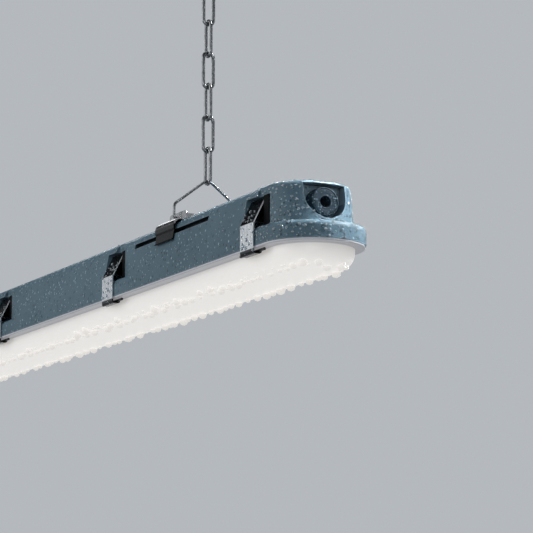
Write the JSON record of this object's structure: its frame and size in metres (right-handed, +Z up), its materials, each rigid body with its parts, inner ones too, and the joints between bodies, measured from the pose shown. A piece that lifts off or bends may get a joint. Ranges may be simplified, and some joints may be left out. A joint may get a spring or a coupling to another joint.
{
  "type": "vapor tight light fixture",
  "caption": "Long narrow weatherproof ceiling light: moulded grey housing, glowing opal diffuser, hinged steel side latches and sliding clips that hang on chains from ceiling hooks.",
  "frame": {"origin": "in the ceiling plane, midway between the two ceiling plates", "axes": "+Z up, +X along the light towards the end with the open cable gland, +Y across it"},
  "size_m": [1.2598, 0.0934, 0.3208],
  "materials": {
    "housing_grey": "satin moulded slate-grey plastic, wet",
    "opal": "opal, lit from inside",
    "seal": "soft foam seal",
    "gland_rubber": "matt black rubber",
    "stainless": "brushed stainless sheet",
    "pin_steel": "plain steel wire",
    "clip_steel": "dull sheet steel",
    "chain_steel": "bright zinc-plated wire",
    "plate_steel": "zinc-plated sheet",
    "tray_white": "white powder coat",
    "board_white": "white solder mask",
    "chip_yellow": "phosphor",
    "driver_white": "white driver case",
    "terminal_grey": "terminal block plastic",
    "wire_sleeve": "wire insulation",
    "nut_plastic": "grey plastic nut",
    "bracket_black": "black moulded bearing block"
  },
  "bodies": {
    "ceiling": {"ceiling_plate_right": "plate_steel", "ceiling_hook_right": "chain_steel", "ceiling_plate_left": "plate_steel", "ceiling_hook_left": "chain_steel"},
    "top_links": {"top_link_right": "chain_steel", "top_link_left": "chain_steel"},
    "chain_right": {"chain_right": "chain_steel", "hanger_wire_right": "chain_steel"},
    "chain_left": {"chain_left": "chain_steel", "hanger_wire_left": "chain_steel"},
    "clip_right": {"suspension_clip_right": "clip_steel"},
    "fixture": {"housing": "housing_grey", "gasket": "seal", "diffuser": "opal", "cable_gland": "gland_rubber", "gland_nut": "nut_plastic", "blanking_plug": "gland_rubber", "plug_nut": "nut_plastic", "latch_pins": "pin_steel", "latch_brackets": "bracket_black", "gear_tray": "tray_white", "tray_screws": "pin_steel", "led_chips": "chip_yellow", "led_driver": "driver_white", "driver_screws": "pin_steel", "terminal_block": "terminal_grey", "mains_wires": "wire_sleeve", "led_leads": "wire_sleeve", "led_board_1": "board_white", "led_board_2": "board_white", "led_board_3": "board_white", "led_board_4": "board_white"},
    "clip_left": {"suspension_clip_left": "clip_steel"},
    "latch_front_1": {"latch_lever_front_1": "stainless", "latch_rod_front_1": "pin_steel"},
    "latch_front_2": {"latch_lever_front_2": "stainless", "latch_rod_front_2": "pin_steel"},
    "latch_front_3": {"latch_lever_front_3": "stainless", "latch_rod_front_3": "pin_steel"},
    "latch_front_4": {"latch_lever_front_4": "stainless", "latch_rod_front_4": "pin_steel"},
    "latch_front_5": {"latch_lever_front_5": "stainless", "latch_rod_front_5": "pin_steel"},
    "latch_back_1": {"latch_lever_back_1": "stainless", "latch_rod_back_1": "pin_steel"},
    "latch_back_2": {"latch_lever_back_2": "stainless", "latch_rod_back_2": "pin_steel"},
    "latch_back_3": {"latch_lever_back_3": "stainless", "latch_rod_back_3": "pin_steel"},
    "latch_back_4": {"latch_lever_back_4": "stainless", "latch_rod_back_4": "pin_steel"},
    "latch_back_5": {"latch_lever_back_5": "stainless", "latch_rod_back_5": "pin_steel"}
  },
  "joints": [
    {"name": "cross_swing", "type": "hinge", "parent": "ceiling", "child": "top_links", "pos_m": [0, 0, -0.032], "axis": [1, 0, 0], "range_deg": [-20, 20]},
    {"name": "chain_right_sway", "type": "hinge", "parent": "top_links", "child": "chain_right", "pos_m": [0.394, 0, -0.0618], "axis": [0, 1, 0], "range_deg": [-15, 15]},
    {"name": "chain_left_sway", "type": "hinge", "parent": "top_links", "child": "chain_left", "pos_m": [-0.394, 0, -0.0618], "axis": [0, 1, 0], "range_deg": [-15, 15]},
    {"name": "clip_right_tilt", "type": "hinge", "parent": "chain_right", "child": "clip_right", "pos_m": [0.394, 0, -0.24517], "axis": [0, 1, 0], "range_deg": [-15, 15]},
    {"name": "fixture_slide", "type": "slide", "parent": "clip_right", "child": "fixture", "axis": [1, 0, 0], "range_m": [-0.047, 0.047]},
    {"name": "clip_left_slide", "type": "slide", "parent": "fixture", "child": "clip_left", "axis": [1, 0, 0], "range_m": [-0.047, 0.047]},
    {"name": "latch_front_1_swing", "type": "hinge", "parent": "fixture", "child": "latch_front_1", "pos_m": [-0.559, -0.0345, -0.26202], "axis": [-1, 0, 0], "range_deg": [0, 70]},
    {"name": "latch_front_2_swing", "type": "hinge", "parent": "fixture", "child": "latch_front_2", "pos_m": [-0.2795, -0.0345, -0.26202], "axis": [-1, 0, 0], "range_deg": [0, 70]},
    {"name": "latch_front_3_swing", "type": "hinge", "parent": "fixture", "child": "latch_front_3", "pos_m": [0, -0.0345, -0.26202], "axis": [-1, 0, 0], "range_deg": [0, 70]},
    {"name": "latch_front_4_swing", "type": "hinge", "parent": "fixture", "child": "latch_front_4", "pos_m": [0.2795, -0.0345, -0.26202], "axis": [-1, 0, 0], "range_deg": [0, 70]},
    {"name": "latch_front_5_swing", "type": "hinge", "parent": "fixture", "child": "latch_front_5", "pos_m": [0.559, -0.0345, -0.26202], "axis": [-1, 0, 0], "range_deg": [0, 70]},
    {"name": "latch_back_1_swing", "type": "hinge", "parent": "fixture", "child": "latch_back_1", "pos_m": [-0.559, 0.0345, -0.26202], "axis": [1, 0, 0], "range_deg": [0, 70]},
    {"name": "latch_back_2_swing", "type": "hinge", "parent": "fixture", "child": "latch_back_2", "pos_m": [-0.2795, 0.0345, -0.26202], "axis": [1, 0, 0], "range_deg": [0, 70]},
    {"name": "latch_back_3_swing", "type": "hinge", "parent": "fixture", "child": "latch_back_3", "pos_m": [0, 0.0345, -0.26202], "axis": [1, 0, 0], "range_deg": [0, 70]},
    {"name": "latch_back_4_swing", "type": "hinge", "parent": "fixture", "child": "latch_back_4", "pos_m": [0.2795, 0.0345, -0.26202], "axis": [1, 0, 0], "range_deg": [0, 70]},
    {"name": "latch_back_5_swing", "type": "hinge", "parent": "fixture", "child": "latch_back_5", "pos_m": [0.559, 0.0345, -0.26202], "axis": [1, 0, 0], "range_deg": [0, 70]}
  ],
  "couplings": [
    {"joint": "chain_left_sway", "follows": "chain_right_sway", "ratio": 1},
    {"joint": "clip_right_tilt", "follows": "chain_right_sway", "ratio": -1},
    {"joint": "clip_left_slide", "follows": "fixture_slide", "ratio": -1}
  ]
}
